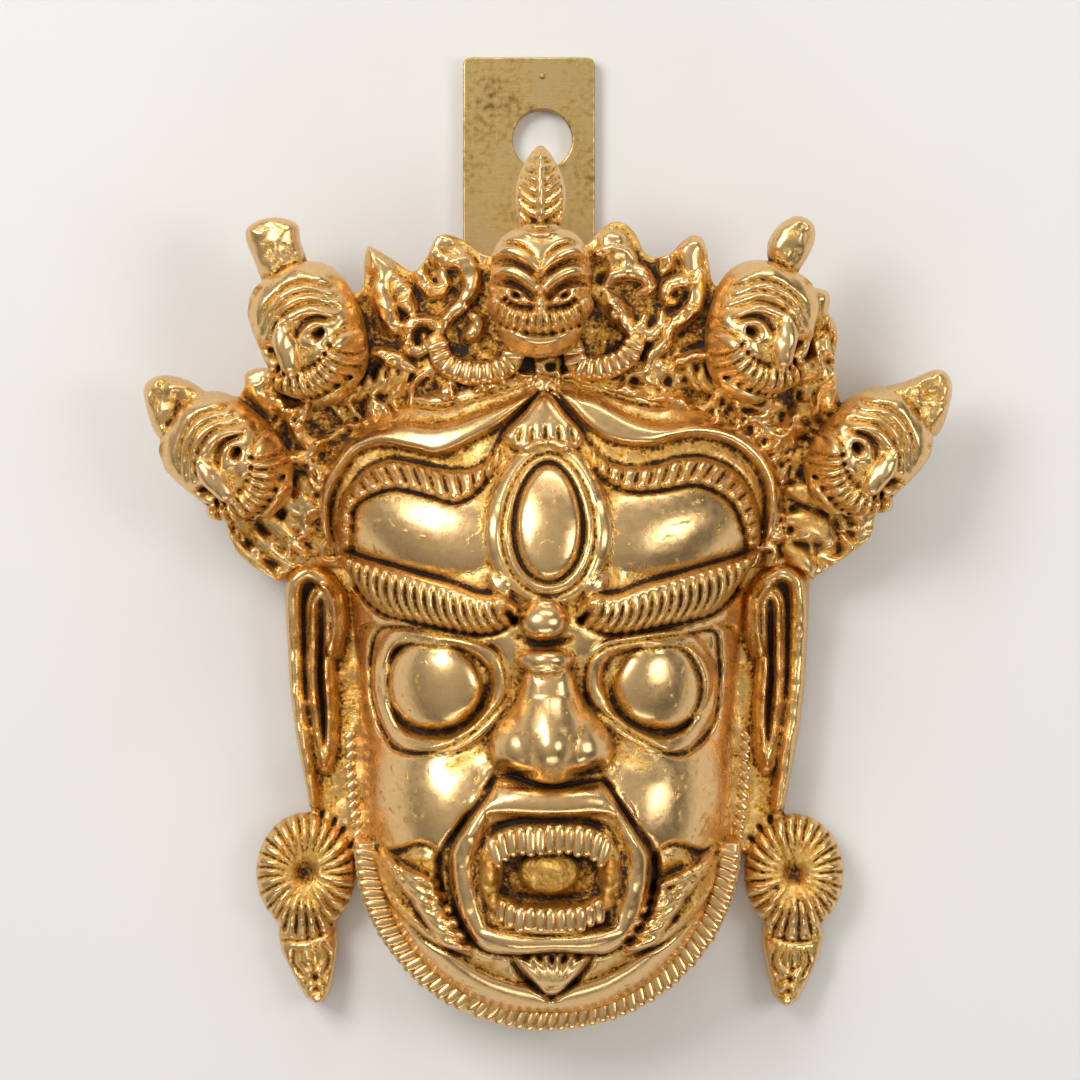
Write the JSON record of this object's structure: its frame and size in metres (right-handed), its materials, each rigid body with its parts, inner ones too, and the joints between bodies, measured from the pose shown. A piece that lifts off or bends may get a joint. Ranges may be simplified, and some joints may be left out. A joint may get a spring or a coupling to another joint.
{
  "type": "cast brass wall mask",
  "caption": "Hollow cast brass wall mask of a wrathful protector with a crown of skulls and a drilled plate to hang it by.",
  "frame": {"origin": "under the middle of the whole piece's box, on the surface that the mask's back rim rests on", "axes": "+Z out of the face through the nose, +Y from the beard to the crown, +X to the right as one looks at the face"},
  "size_m": [0.1372, 0.1646, 0.04],
  "materials": {
    "mask": "cast and hand polished on the high parts, with dark brown patina in the carving",
    "hanging_tab": "filed flat bar, satin, with dull brown stains"
  },
  "bodies": {
    "root": {"mask": "mask", "hanging_tab": "hanging_tab"}
  },
  "joints": []
}
